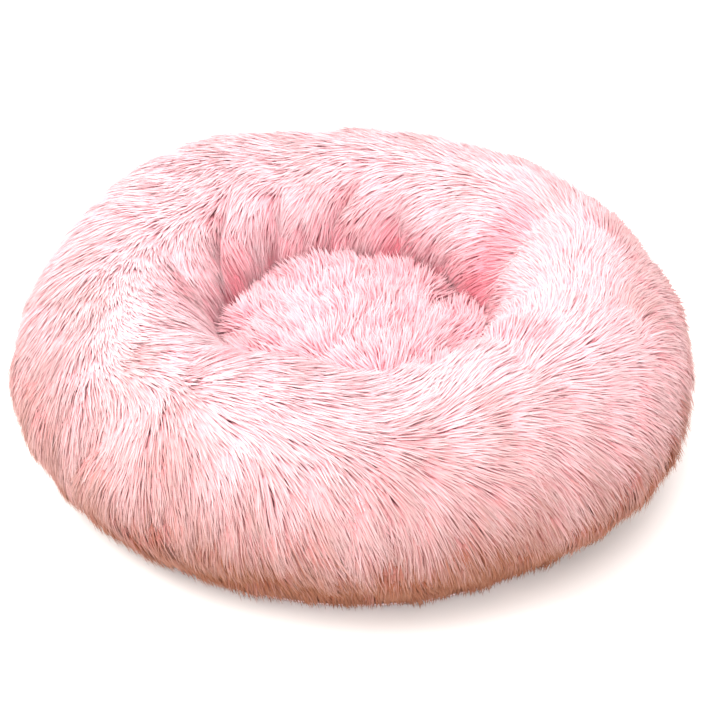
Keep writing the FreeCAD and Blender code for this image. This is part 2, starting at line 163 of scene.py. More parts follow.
def fold_depth(turn, lean_degrees):
    """Depth in metres of all the folds together: each is a bell across its line and along it."""
    depth_here = np.zeros(np.shape(turn))
    for middle, drift, width, depth, deepest, span in FOLDS:
        away = angle_gap(turn, middle) - drift * (lean_degrees - deepest)
        depth_here += depth / 1000 * np.exp(-(away / width) ** 2 - ((lean_degrees - deepest) / span) ** 2)
    return depth_here


def ring_surface(turn, lean, proud=0.0):
    """A ring carried round the bed's axis whose section is a rounded box.

    turn goes round the bed, lean goes round the tube: 0 outermost, 90 degrees on top, 180 inside.
    The section's reach is (|cos lean / half width|^n + |sin lean / half height|^n)^(-1/n), less a
    bell-shaped groove for each fold, plus a bell for each swell and a slow wave for uneven filling.
    """
    cosine, sine = np.cos(lean), np.sin(lean)
    under, outer = sine < 0, cosine > 0
    half_width = np.where(outer, 0.0718, 0.0705)
    half_height = np.where(under, 0.086, 0.0685)
    power = np.where(under & outer, 2.2, 2.05)
    reach = ((np.abs(cosine) / half_width) ** power + (np.abs(sine) / half_height) ** power) ** (-1 / power)
    round_bed = np.stack([np.cos(turn), np.sin(turn), np.zeros_like(turn)], -1)
    place = round_bed * (ring_radius + 0.07 * cosine)[..., None]
    place[..., 2] += ring_middle + 0.07 * sine
    lean_degrees = np.degrees(lean)
    calm = np.clip((lean_degrees + 60) / 60, 0, 1)
    reach = reach + calm * (0.0035 * soft_noise(place, 0.21, 3) + 0.0015 * soft_noise(place, 0.09, 4))
    reach = reach - fold_depth(turn, lean_degrees)
    for middle, width, fullest, span, height in SWELLS:
        bell = np.exp(-(angle_gap(turn, middle) / width) ** 2 - ((lean_degrees - fullest) / span) ** 2)
        reach = reach + height / 1000 * bell
    reach = reach + proud
    centre = round_bed * ring_radius
    centre[..., 2] = ring_middle
    upwards = np.array([0, 0, 1.0])
    return centre + round_bed * (reach * cosine)[..., None] + upwards * (reach * sine)[..., None]


hem_lean, nest_lean = np.radians(-62), np.radians(203)
turn_columns = np.linspace(0, 2 * np.pi, 320, endpoint=False)
turns, leans = np.meshgrid(turn_columns, np.linspace(hem_lean, nest_lean, 84))
hem_radius, hem_height = 0.248, 0.0107
knit_thickness = 0.0015
hem_edge = np.stack([hem_radius * np.cos(turn_columns), hem_radius * np.sin(turn_columns),
                     0 * turn_columns + hem_height], -1)
knit_inside = ring_surface(turns, leans, -knit_thickness)
cover_rows = np.concatenate([hem_edge[None], ring_surface(turns, leans), knit_inside[::-1]])
backing = make_piece("bolster_backing", "bed", cover_rows,
                     grid_faces(*cover_rows.shape[:2], close_rows=True, close_columns=True))
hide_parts("bolster_cover")


def new_finish(name, roughness, specular=0.3):
    """A material with its roughness and gloss set, as (material, nodes, links, shader)."""
    finish = bpy.data.materials.new(name)
    finish.use_nodes = True
    nodes, links = finish.node_tree.nodes, finish.node_tree.links
    shader = nodes["Principled BSDF"]
    shader.inputs["Roughness"].default_value = roughness
    shader.inputs["Specular IOR Level"].default_value = specular
    return finish, nodes, links, shader


def two_tone(nodes, links, shader, factor, low, high):
    """Base colour that runs from low to high with a factor."""
    ramp = nodes.new("ShaderNodeValToRGB")
    ramp.color_ramp.elements[0].color = (*low, 1)
    ramp.color_ramp.elements[1].color = (*high, 1)
    links.new(factor, ramp.inputs["Fac"])
    links.new(ramp.outputs["Color"], shader.inputs["Base Color"])


def relief(nodes, links, shader, height, depth, strength=0.6):
    """A bump of a depth in metres from a height between 0 and 1."""
    bump = nodes.new("ShaderNodeBump")
    bump.inputs["Strength"].default_value = strength
    bump.inputs["Distance"].default_value = depth
    links.new(height, bump.inputs["Height"])
    links.new(bump.outputs["Normal"], shader.inputs["Normal"])


def woven_finish(name, low, high, pitch, roughness=0.85, sheen=0.15):
    """Plain weave: two crossed waves of threads at a pitch, mixed with a slow noise of uneven dye."""
    finish, nodes, links, shader = new_finish(name, roughness, 0.2)
    shader.inputs["Sheen Weight"].default_value = sheen
    place = nodes.new("ShaderNodeTexCoord")
    waves = []
    for way in ("X", "Y"):
        wave = nodes.new("ShaderNodeTexWave")
        wave.bands_direction = way
        wave.inputs["Scale"].default_value = 0.314 / pitch
        wave.inputs["Distortion"].default_value = 0.4
        links.new(place.outputs["Object"], wave.inputs["Vector"])
        waves.append(wave)
    crossed = nodes.new("ShaderNodeMath")
    crossed.operation = "MULTIPLY"
    links.new(waves[0].outputs["Fac"], crossed.inputs[0])
    links.new(waves[1].outputs["Fac"], crossed.inputs[1])
    dye = nodes.new("ShaderNodeTexNoise")
    dye.inputs["Scale"].default_value = 45.0
    dye.inputs["Detail"].default_value = 3.0
    links.new(place.outputs["Object"], dye.inputs["Vector"])
    shade = nodes.new("ShaderNodeMath")
    shade.operation = "MULTIPLY_ADD"
    shade.inputs[1].default_value = 0.6
    links.new(crossed.outputs["Value"], shade.inputs[0])
    links.new(dye.outputs["Fac"], shade.inputs[2])
    two_tone(nodes, links, shader, shade.outputs["Value"], low, high)
    relief(nodes, links, shader, crossed.outputs["Value"], pitch * 0.4)
    return finish


knit = woven_finish("knitted_backing", (0.90, 0.50, 0.54), (0.95, 0.64, 0.67), 0.0011, 0.95, 0.3)
backing.data.materials.append(knit)


# ---- Bolster: inner cushion -----------------------------------------------------------------
# A white non-woven liner, and inside it the fibre filling that it holds. Both follow the cover's
# folds a few millimetres further in, and are raised wherever they would hang below the base cloth.
def base_rise(radius):
    """Height of the base cloth's underside, without its puckers: flat, then a round arc up to the hem."""
    lowest, flat_radius, arc_radius, arc_reach = 0.001, 0.2, 0.04463, 0.0262
    return lowest + arc_radius - np.sqrt(arc_radius ** 2 - np.clip(radius - flat_radius, 0, arc_reach) ** 2)


def above_base(places, gap):
    """The places, raised where they would be less than a gap above the base cloth's underside."""
    raised = places.copy()
    raised[..., 2] = np.maximum(places[..., 2], base_rise(np.hypot(places[..., 0], places[..., 1])) + gap)
    return raised


tube_turns, tube_leans = np.meshgrid(np.linspace(0, 2 * np.pi, 240, endpoint=False),
                                     np.linspace(-np.pi, np.pi, 120, endpoint=False))
ring_wrinkles = 0.0005 * soft_noise(ring_surface(tube_turns, tube_leans), 0.022, 5)
liner_layers = [above_base(ring_surface(tube_turns, tube_leans, ring_wrinkles - depth), gap)
                for depth, gap in ((0.0030, 0.0014), (0.0040, 0.0024))]
rows, columns = tube_turns.shape
liner_faces = np.concatenate([
    grid_faces(rows, columns, 0, close_rows=True, close_columns=True),
    grid_faces(rows, columns, rows * columns, close_rows=True, close_columns=True, flip=True)])
bolster_liner = make_piece("bolster_inner_liner", "bed", np.concatenate(liner_layers), liner_faces)
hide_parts("bolster_liner")
filling_places = above_base(ring_surface(tube_turns, tube_leans, ring_wrinkles - 0.0048), 0.0032)
bolster_filling = make_piece("bolster_filling", "bed", filling_places,
                             grid_faces(rows, columns, close_rows=True, close_columns=True))
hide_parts("bolster_fill")


def grained_finish(name, low, high, scale, roughness, specular, depth, metal=0.0):
    """One colour broken up by a fine noise that also roughens the surface."""
    finish, nodes, links, shader = new_finish(name, roughness, specular)
    shader.inputs["Metallic"].default_value = metal
    place = nodes.new("ShaderNodeTexCoord")
    grain = nodes.new("ShaderNodeTexNoise")
    grain.inputs["Scale"].default_value = scale
    grain.inputs["Detail"].default_value = 4.0
    links.new(place.outputs["Object"], grain.inputs["Vector"])
    two_tone(nodes, links, shader, grain.outputs["Fac"], low, high)
    relief(nodes, links, shader, grain.outputs["Fac"], depth, 0.4)
    return finish


non_woven = grained_finish("non_woven_liner", (0.84, 0.84, 0.83), (0.93, 0.93, 0.92),
                           900.0, 0.9, 0.15, 0.0003)
batting = grained_finish("fibre_batting", (0.88, 0.88, 0.86), (0.97, 0.97, 0.96), 260.0, 0.95, 0.1, 0.0012)
bolster_liner.data.materials.append(non_woven)
bolster_filling.data.materials.append(batting)


# ---- Pad: backing cloth of its fur cover ----------------------------------------------------
# A crowned round of the same knitted backing, pulled down at its rim where it is sewn to the ring.
def pad_surface(across, along, proud=0.0):
    """A low dome: crown height less a share of (radius / rim)^2.6.

    A slow wave and one bell of uneven filling, at the back left, are added to it.
    """
    crown_height, rim_drop, rim_radius = 0.087, 0.012, 0.125
    radius = np.hypot(across, along)
    place = np.stack([across, along, crown_height - rim_drop * (radius / rim_radius) ** 2.6 + proud], -1)
    flat_place = place * np.array([1, 1, 0])
    place[..., 2] += 0.0022 * soft_noise(flat_place, 0.09, 8) * np.clip(1.2 - radius / rim_radius, 0, 1)
    place[..., 2] += 0.009 * np.exp(-((across + 0.035) ** 2 + (along - 0.095) ** 2) / 0.06 ** 2)
    return place


def round_faces(rows, columns):
    """Faces of rows of rings from the middle underneath to the middle on top, then two middle points."""
    faces = list(grid_faces(rows, columns, close_columns=True))
    ring = np.arange(columns)
    after = np.roll(ring, -1)
    last = (rows - 1) * columns
    faces += list(np.stack([after, ring, np.full(columns, rows * columns)], -1))
    faces += list(np.stack([last + ring, last + after, np.full(columns, rows * columns + 1)], -1))
    return faces


def with_middles(rows_of_rings):
    """The places of the rings, with the middle of the first and of the last ring after them."""
    middles = [rows_of_rings[0].mean(0), rows_of_rings[-1].mean(0)]
    return np.concatenate([rows_of_rings.reshape(-1, 3), middles])


pad_radii = np.linspace(0.003, 0.124, 34)
ring_turns = np.linspace(0, 2 * np.pi, 96, endpoint=False)
pad_x, pad_y = pad_radii[:, None] * np.cos(ring_turns), pad_radii[:, None] * np.sin(ring_turns)
pad_rows = np.concatenate([pad_surface(pad_x, pad_y, -knit_thickness), pad_surface(pad_x, pad_y)[::-1]])
pad_backing = make_piece("pad_backing", "bed", with_middles(pad_rows), round_faces(*pad_rows.shape[:2]))
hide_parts("pad_cover")
pad_backing.data.materials.append(knit)


# ---- Pad: inner cushion ---------------------------------------------------------------------
# A round cushion of the same liner and filling: flat underneath, puckered along its side seam.
def pad_cushion(depth):
    """Rings from the middle underneath round the side to the crown, all drawn in by a depth.

    The side is a half round between the flat underside and the dome, and its reach swings in and out
    with sixty small puckers that fade above and below the seam.
    """
    turn = ring_turns[None]
    under_radius = np.linspace(0.004, 0.104, 14)[:, None]
    under = np.stack([under_radius * np.cos(turn), under_radius * np.sin(turn),
                      0.0026 + depth + 0 * under_radius * turn], -1)
    side_lean = np.radians(np.linspace(-80, 80, 17))[:, None]
    pucker = 0.0008 * np.sin(60 * turn) * np.cos(side_lean) ** 4
    side_radius = 0.104 + (0.029 - depth + pucker) * np.cos(side_lean)
    side_height = 0.0325 + (0.0295 - depth) * np.sin(side_lean)
    side = np.stack([side_radius * np.cos(turn), side_radius * np.sin(turn), side_height + 0 * turn], -1)
    crown_radius = np.linspace(0.104, 0.004, 18)[:, None]
    crown = pad_surface(crown_radius * np.cos(turn), crown_radius * np.sin(turn), -0.0030 - depth)
    settle = np.clip((crown_radius - 0.075) / 0.029, 0, 1) ** 2
    crown[..., 2] -= settle * (crown[..., 2] - (0.0622 - depth))
    return np.concatenate([under, side, crown])


pad_layers = [pad_cushion(0.0), pad_cushion(0.001)]
pad_rows_count, pad_columns = pad_layers[0].shape[:2]
outer_places, inner_places = with_middles(pad_layers[0]), with_middles(pad_layers[1])
pad_outer_faces = round_faces(pad_rows_count, pad_columns)
pad_inner_faces = [face[::-1] + len(outer_places) for face in pad_outer_faces]
pad_liner = make_piece("pad_inner_liner", "bed", np.concatenate([outer_places, inner_places]),
                       pad_outer_faces + pad_inner_faces)
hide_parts("pad_liner")
pad_filling = make_piece("pad_filling", "bed", with_middles(pad_cushion(0.0018)), pad_outer_faces)
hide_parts("pad_fill")
pad_liner.data.materials.append(non_woven)
pad_filling.data.materials.append(batting)


# ---- Seams, hem and care label --------------------------------------------------------------
# The seam tape, the hem band and the zip's end tabs are cut from one woven binding, all rows of
# stitches are one twisted thread, and the label is a blank scrap of satin.
def dress(finish, *names):
    """Give the CAD pieces of these names a finish in place of the one they came with."""
    for name in names:
        cad_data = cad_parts[name].data
        cad_data.materials.clear()
        cad_data.materials.append(finish)


binding = woven_finish("binding_tape", (0.74, 0.52, 0.55), (0.88, 0.70, 0.72), 0.0006)
thread = grained_finish("twisted_thread", (0.80, 0.56, 0.60), (0.94, 0.76, 0.79), 2600.0, 0.8, 0.2, 0.0002)
satin = woven_finish("satin_label", (0.86, 0.85, 0.83), (0.95, 0.94, 0.93), 0.0003, 0.45, 0.3)
dress(binding, "nest_seam_tape", "hem_band", "zip_end_tabs")
dress(thread, "nest_seam_stitches", "hem_stitches", "care_label_stitches", "zip_stitches_inner",
      "zip_stitches_outer", "bolster_liner_closing_stitches", "pad_liner_closing_stitches")
dress(satin, "care_label")


# ---- Base: woven panel with printed anti-slip dots ------------------------------------------
# The underside is one round of woven cloth, flat on the floor and risen at its rim, where the seam
# gathers it into small puckers. Rows of low rubber dots are printed on the part that touches down.
panel_turns = np.linspace(0, 2 * np.pi, 360, endpoint=False)
panel_radii = np.concatenate([np.linspace(0.004, 0.196, 25), np.linspace(0.200, 0.2262, 12)])[:, None]
gather = 0.0003 * np.clip((panel_radii - 0.2) / 0.02, 0, 1) * (1 + np.sin(90 * panel_turns))
panel_under = np.stack([panel_radii * np.cos(panel_turns), panel_radii * np.sin(panel_turns),
                        base_rise(panel_radii) + gather], -1)
panel_thickness = 0.0009
panel_over = (panel_under + np.array([0, 0, panel_thickness]))[::-1]
panel_rows = np.concatenate([panel_under, panel_over])
base_cloth = make_piece("base_cloth", "bed", with_middles(panel_rows), round_faces(*panel_rows.shape[:2]))
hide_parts("base_panel")

dot_pitch, dot_round = 0.0088, 0.0017
across_count = 24
dot_x, dot_y = np.meshgrid(np.arange(-across_count, across_count + 1) * dot_pitch,
                           np.arange(-across_count, across_count + 1) * dot_pitch * np.sqrt(3) / 2)
dot_x[1::2] += dot_pitch / 2
dots = np.stack([dot_x.ravel(), dot_y.ravel()], -1)
print_radius = 0.188
dots = dots[np.hypot(dots[:, 0], dots[:, 1]) < print_radius]
corner = np.arange(8) * np.pi / 4
dome = np.concatenate([
    np.stack([0.55 * dot_round * np.cos(corner), 0.55 * dot_round * np.sin(corner), 0 * corner], -1),
    np.stack([dot_round * np.cos(corner), dot_round * np.sin(corner), 0 * corner + 0.0006], -1),
    np.stack([dot_round * np.cos(corner), dot_round * np.sin(corner), 0 * corner + 0.0011], -1)])
dot_places = dome[None] + np.concatenate([dots, np.zeros((len(dots), 1))], 1)[:, None]
dot_sides = grid_faces(3, 8, close_columns=True)
dot_first = 24 * np.arange(len(dots))[:, None, None]
dot_faces = list((dot_sides[None] + dot_first).reshape(-1, 4))
dot_faces += list(np.arange(8)[::-1][None] + dot_first[:, 0])
dot_faces += list(np.arange(16, 24)[None] + dot_first[:, 0])
anti_slip = make_piece("anti_slip_print", "bed", dot_places, dot_faces)
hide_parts("anti_slip_dots")
oxford = woven_finish("oxford_cloth", (0.60, 0.45, 0.46), (0.78, 0.63, 0.64), 0.0009)
rubber = grained_finish("rubber_print", (0.70, 0.66, 0.66), (0.80, 0.76, 0.76), 600.0, 0.45, 0.5, 0.0001)
base_cloth.data.materials.append(oxford)
anti_slip.data.materials.append(rubber)


# ---- Zip ------------------------------------------------------------------------------------
# Two rows of bent nylon teeth, one for each millimetre and a half of the arc, sewn along the edges of
# the tapes. Slider, pull tab and stops are a satin alloy.
def tooth_row(radius_inside, radius_outside, offset):
    """A row of rounded bars across a strip, one for each pitch along the zip's arc."""
    pitch = 0.0015
    begin, sweep = np.radians(12.85), np.radians(152.3)
    zip_radius = 0.239
    count = int(sweep * zip_radius / pitch)
    turn = begin + (np.arange(count) + 0.5 + 0.4 * offset) / count * sweep
    lengthwise = np.array([0.0, 0.15, 0.85, 1.0])
    girth = np.array([0.55, 1.0, 1.0, 0.55])
    section = np.radians([45, 135, 225, 315])
    reach = radius_inside + (radius_outside - radius_inside) * lengthwise
    tooth_middle, tooth_half_width, tooth_half_height = 0.0087, 0.00052, 0.00125
    along = tooth_half_width * girth[:, None] * np.cos(section)
    height = tooth_middle + tooth_half_height * girth[:, None] * np.sin(section)
    radial = np.broadcast_to(reach[:, None], along.shape)
    places = np.stack([
        radial * np.cos(turn)[:, None, None] - along * np.sin(turn)[:, None, None],
        radial * np.sin(turn)[:, None, None] + along * np.cos(turn)[:, None, None],
        np.broadcast_to(height, (count, 4, 4))], -1)
    sides = grid_faces(4, 4, close_columns=True, flip=True)
    first = 16 * np.arange(count)[:, None, None]
    faces = list((sides[None] + first).reshape(-1, 4))
    faces += list(np.arange(4)[None] + first[:, 0])
    faces += list(np.arange(12, 16)[::-1][None] + first[:, 0])
    return places, faces


zip_weave = woven_finish("zip_tape_weave", (0.76, 0.50, 0.54), (0.90, 0.68, 0.71), 0.0005)
nylon = grained_finish("nylon_teeth", (0.82, 0.56, 0.61), (0.90, 0.67, 0.71), 1500.0, 0.35, 0.5, 0.00004)
alloy = grained_finish("satin_alloy", (0.50, 0.50, 0.52), (0.72, 0.72, 0.74), 700.0, 0.32, 0.5, 0.00003, 1.0)
for side, low, high, offset in (("inner", 0.2354, 0.2380, 0), ("outer", 0.2400, 0.2426, 1)):
    teeth_places, teeth_faces = tooth_row(low, high, offset)
    teeth = make_piece(f"zip_teeth_{side}", "bed", teeth_places, teeth_faces)
    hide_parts(f"zip_coil_{side}")
    teeth.data.materials.append(nylon)
dress(zip_weave, "zip_tape_inner", "zip_tape_outer")
dress(alloy, "zip_slider", "zip_pull_tab", "zip_top_stops", "zip_bottom_stop")


# ---- Pile finish ----------------------------------------------------------------------------
# Matt polyester fibre: pink, nearly white at the tip and darker and more saturated towards the root,
# partly painted shade for the shadow far down between the locks, and turned to tan low on the outside
# of the ring, a painted warm shade. Each lock's own map runs across the shades, from pink to the
# painted tan, in u and from root to tip in v.
def shade_ramp(nodes, stops):
    """A colour ramp node with (place, colour) stops."""
    ramp = nodes.new("ShaderNodeValToRGB")
    while len(ramp.color_ramp.elements) < len(stops):
        ramp.color_ramp.elements.new(0.5)
    for element, (place, colour) in zip(ramp.color_ramp.elements, stops):
        element.position = place
        element.color = (*colour, 1)
    return ramp


pile_finish, nodes, links, shader = new_finish("pile", 0.7, 0.08)
lock_map = nodes.new("ShaderNodeUVMap")
lock_map.uv_map = "OFBake"
split = nodes.new("ShaderNodeSeparateXYZ")
links.new(lock_map.outputs["UV"], split.inputs["Vector"])
pale = shade_ramp(nodes, [(0.0, (0.93, 0.20, 0.26)), (0.3, (0.97, 0.36, 0.42)), (0.55, (0.985, 0.54, 0.59)),
                          (0.8, (0.99, 0.69, 0.73)), (1.0, (0.995, 0.79, 0.81))])
# The tan colours are painted warm shade for the low outside of the ring.
painted_shade_tan = shade_ramp(nodes, [(0.0, (0.18, 0.035, 0.015)), (0.3, (0.23, 0.06, 0.025)), (0.55, (0.28, 0.09, 0.04)),
                          (0.8, (0.34, 0.135, 0.07)), (1.0, (0.40, 0.19, 0.11))])
links.new(split.outputs["Y"], pale.inputs["Fac"])
links.new(split.outputs["Y"], painted_shade_tan.inputs["Fac"])
blend_shades = nodes.new("ShaderNodeMix")
blend_shades.data_type = "RGBA"
links.new(split.outputs["X"], blend_shades.inputs["Factor"])
links.new(pale.outputs["Color"], blend_shades.inputs["A"])
links.new(painted_shade_tan.outputs["Color"], blend_shades.inputs["B"])
links.new(blend_shades.outputs["Result"], shader.inputs["Base Color"])
through = nodes.new("ShaderNodeBsdfTranslucent")
warmed = nodes.new("ShaderNodeMix")
warmed.data_type = "RGBA"
warmed.blend_type = "MULTIPLY"
warmed.inputs["Factor"].default_value = 1.0
warmed.inputs["B"].default_value = (1.0, 0.62, 0.66, 1)
links.new(blend_shades.outputs["Result"], warmed.inputs["A"])
links.new(warmed.outputs["Result"], through.inputs["Color"])
glow = nodes.new("ShaderNodeMixShader")
glow.inputs["Fac"].default_value = 0.12
links.new(shader.outputs["BSDF"], glow.inputs[1])
links.new(through.outputs["BSDF"], glow.inputs[2])
links.new(glow.outputs["Shader"], nodes["Material Output"].inputs["Surface"])


# ---- Pile locks -----------------------------------------------------------------------------
# The fur is thousands of tapered locks of fibre, rooted under two millimetres apart. Each lies
# along the nap over its neighbours, leans in to its own tuft and ends in a loose point.
STATIONS = np.array([0.0, 0.45, 1.0])


def surface_frame(surface, first, second):
    """Places on a surface with the length of a step in each of its two directions and the outward normal."""
    step = 1e-3
    place = surface(first, second)
    along_first = (surface(first + step, second) - place) / step
    along_second = (surface(first, second + step) - place) / step
    normal = np.cross(along_first, along_second)
    normal /= np.linalg.norm(normal, axis=-1)[..., None]
    return place, np.linalg.norm(along_first, axis=-1), np.linalg.norm(along_second, axis=-1), normal


def lock_paths(surface, first, second, way, lying, lift, tip_lift, tuft, gathering):
    """Each lock's middle line: it walks over the surface along its way while it rises from the cloth.

    At share s of its length a lock has gone s * lying over the cloth and s^2 * gathering of the way to
    its tuft's middle, and it stands lift * (1 - (1 - s)^2.3) + tip_lift * s^3 off the cloth: it
    rises steeply from its root and then lies nearly level.
    """
    _, size_first, size_second, _ = surface_frame(surface, first, second)
    stations, ups = [], []
    for share in STATIONS:
        there_first = first + np.sin(way) * lying * share / size_first + gathering * share ** 2 * tuft[0]
        there_second = second - np.cos(way) * lying * share / size_second + gathering * share ** 2 * tuft[1]
        there, _, _, up = surface_frame(surface, there_first, there_second)
        rise = lift * (1 - (1 - share) ** 2.3) + tip_lift * share ** 3
        stations.append(there + up * rise[:, None])
        ups.append(up)
    return np.stack(stations, 1), np.stack(ups, 1)


def lock_piece(name, paths, ups, girth, shade, tip_paleness_and_painted_shade, seed):
    """Three-sided spindles about the paths, drawn in to one point at the tip.

    A vertex's shading direction is the cloth's outward direction, turned a little towards its own side
    of the lock and swayed at random, so that a lock shades as a bundle of fibres and not as a prism.
    Shade is 0 for pink and 1 for the painted tan shade low on the ring; the argument after it is how far up
    the root-to-tip colours the lock's own tip is, lowered where shade is painted.
    """
    count = len(paths)
    along = np.gradient(paths, axis=1)
    along /= np.linalg.norm(along, axis=2)[..., None]
    side = np.cross(along, ups)
    side /= np.linalg.norm(side, axis=2)[..., None]
    over = np.cross(side, along)
    corner = np.radians([90, 210, 330])
    flatness = 0.34
    across, through = np.cos(corner)[:, None], (flatness * np.sin(corner))[:, None]
    offset = side[:, :2, None] * across + over[:, :2, None] * through
    rings = paths[:, :2, None] + offset * np.array([0.75, 1.0])[:, None, None] * girth[:, None, None, None]
    points = np.concatenate([rings.reshape(count, 6, 3), paths[:, 2:]], 1)
    ring = np.arange(3)
    after = (ring + 1) % 3
    quads = np.stack([after, ring, 3 + ring, 3 + after], -1)
    ends = np.concatenate([np.stack([3 + after, 3 + ring, np.full(3, 6)], -1), [[0, 1, 2]]])
    base = 7 * np.arange(count)[:, None]
    loops = np.concatenate([quads.ravel() + base, ends.ravel() + base], 1)
    starts = np.concatenate([4 * np.arange(3), 12 + 3 * np.arange(4)]) + 24 * np.arange(count)[:, None]
    strip = np.floor(np.clip(shade, 0, 0.999) * 16)
    map_u = (strip[:, None] + np.array([0.2, 0.5, 0.8, 0.2, 0.5, 0.8, 0.5])) / 16
    map_v = 0.02 + 0.96 * tip_paleness_and_painted_shade[:, None] * np.repeat(STATIONS, [3, 3, 1])
    sway = 0.12 * np.random.default_rng(seed).normal(size=(count, 1, 3))
    facing = ups[:, :2, None] + 0.35 * offset + sway[:, None]
    facing = np.concatenate([facing.reshape(count, 6, 3), ups[:, 2:] + sway + 0.25 * along[:, 2:]], 1)
    facing /= np.linalg.norm(facing, axis=2)[..., None]
    mesh = bpy.data.meshes.new(name)
    mesh.vertices.add(7 * count)
    mesh.vertices.foreach_set("co", points.astype(np.float32).ravel())
    mesh.loops.add(24 * count)
    mesh.polygons.add(7 * count)
    mesh.polygons.foreach_set("loop_start", starts.astype(np.int32).ravel())
    mesh.polygons.foreach_set("vertices", loops.astype(np.int32).ravel())
    mesh.update(calc_edges=True)
    layer = mesh.uv_layers.new(name="OFBake")
    point_map = np.stack([map_u, map_v], -1).reshape(-1, 2)
    layer.uv.foreach_set("vector", point_map[loops.ravel()].astype(np.float32).ravel())
    mesh.shade_smooth()
    mesh.normals_split_custom_set_from_vertices(facing.reshape(-1, 3))
    mesh.materials.append(pile_finish)
    piece = bpy.data.objects.new(name, mesh)
    bpy.context.scene.collection.objects.link(piece)
    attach(piece, "bed")


def tufts(first, second, size_first, cell, size_second, seed):
    """For each root, its step to the middle of its tuft in both directions, and the tuft's random value.

    The cloth is divided into cells of about the tuft's size, and each middle is shaken off the centre
    of its cell. size_first and size_second are the metres in one unit of each direction.
    """
    shaken = np.random.default_rng(seed).uniform(-1, 1, (1024, 3))
    row = np.floor(second * size_second / cell)
    row_middle = (row + 0.5) * cell / size_second
    cell_first = cell / size_first(row_middle)
    column = np.floor(first / cell_first)
    shake = shaken[(row * 131 + column * 17).astype(int) % 1024]
    step_first = (column + 0.5 + 0.3 * shake[:, 0]) * cell_first - first
    step_second = row_middle + 0.3 * shake[:, 1] * cell / size_second - second
    return step_first, step_second, shake[:, 2]


# ---- Pile of the bolster --------------------------------------------------------------------
# The nap was brushed one way round the ring: it falls down the outside, sweeps round over the top,
# and turns down into the nest on the inner wall. At the left it parts along the crest instead.
# Angles are of the nap from straight down the outside towards the way round the bed, in degrees,
# one row for each angle round the bed and one column for each lean.
NAP_LEANS = (-62, 0, 25, 50, 75, 100, 125, 150, 180, 205)
NAP = {
    -180: (2, 8, 18, 28, 42, 90, 138, 155, 168, 176), -155: (2, 10, 25, 42, 75, 122, 135, 150, 166, 174),
    -138: (0, 4, 10, 28, 66, 108, 128, 150, 165, 172), -115: (2, 8, 15, 35, 68, 92, 102, 125, 155, 170),
    -90: (2, 12, 25, 50, 80, 92, 95, 115, 150, 170), -45: (4, 12, 25, 45, 72, 92, 112, 140, 160, 170),
    0: (4, 10, 20, 38, 60, 85, 115, 145, 165, 172), 45: (4, 14, 30, 50, 75, 100, 122, 140, 155, 168),
    90: (4, 14, 30, 55, 85, 105, 135, 155, 168, 175), 130: (4, 12, 25, 40, 62, 90, 135, 158, 168, 175),
    155: (4, 10, 18, 26, 40, 66, 128, 156, 168, 176), 180: (2, 8, 18, 28, 42, 90, 138, 155, 168, 176),
}


def nap_angle(turn, lean_degrees):
    """The nap's angle, read from its table: straight lines along each row, and smooth steps between rows."""
    keys = np.array(sorted(NAP))
    rows = np.stack([np.interp(lean_degrees, NAP_LEANS, NAP[key]) for key in keys])
    turn_degrees = (np.degrees(turn) + 180) % 360 - 180
    low = np.clip(np.searchsorted(keys, turn_degrees, side="right") - 1, 0, len(keys) - 2)
    share = (turn_degrees - keys[low]) / (keys[low + 1] - keys[low])
    share = share * share * (3 - 2 * share)
    each = np.arange(len(turn))
    return rows[low, each] * (1 - share) + rows[low + 1, each] * share


def tube_metres(lean):
    """Metres in one radian round the bed at each lean."""
    return ring_radius + 0.073 * np.cos(lean)


root_gap = 0.00182
rng = np.random.default_rng(11)
row_leans = np.arange(np.radians(-58), nest_lean, root_gap / 0.074)
row_counts = (2 * np.pi * tube_metres(row_leans) / root_gap).astype(int)
root_lean = np.repeat(row_leans, row_counts)
place_in_row = np.arange(len(root_lean)) - np.repeat(np.cumsum(row_counts) - row_counts, row_counts)
root_turn = (place_in_row + np.repeat(rng.uniform(0, 1, len(row_leans)), row_counts))
root_turn = root_turn / np.repeat(row_counts, row_counts) * 2 * np.pi - np.pi
count = len(root_turn)
root_turn = root_turn + rng.normal(0, 0.4, count) * root_gap / tube_metres(root_lean)
root_lean = root_lean + rng.normal(0, 0.4, count) * root_gap / 0.074
root_place = ring_surface(root_turn, root_lean)
lean_degrees = np.degrees(root_lean)
ruffle = 0.0025 * soft_noise(root_place, 0.03, 26)
step_turn, step_lean, tuft_value = tufts(root_turn + ruffle / 0.2 + 4, root_lean + ruffle / 0.074 + 4,
                                         lambda lean: tube_metres(lean - 4), 0.0070, 0.074, 24)
nap = nap_angle(root_turn, lean_degrees)
nap = nap + 9 * soft_noise(root_place, 0.11, 21) + 4 * soft_noise(root_place, 0.035, 22)
nap = np.radians(nap + rng.normal(0, 5, count) + 4 * tuft_value)
parting_lean = np.interp(np.degrees(root_turn) % 360, (150, 183, 205, 218), (119, 100, 78, 62))
parting = np.exp(-((lean_degrees - parting_lean) / 15) ** 2 - (angle_gap(root_turn, -177) / 42) ** 4)
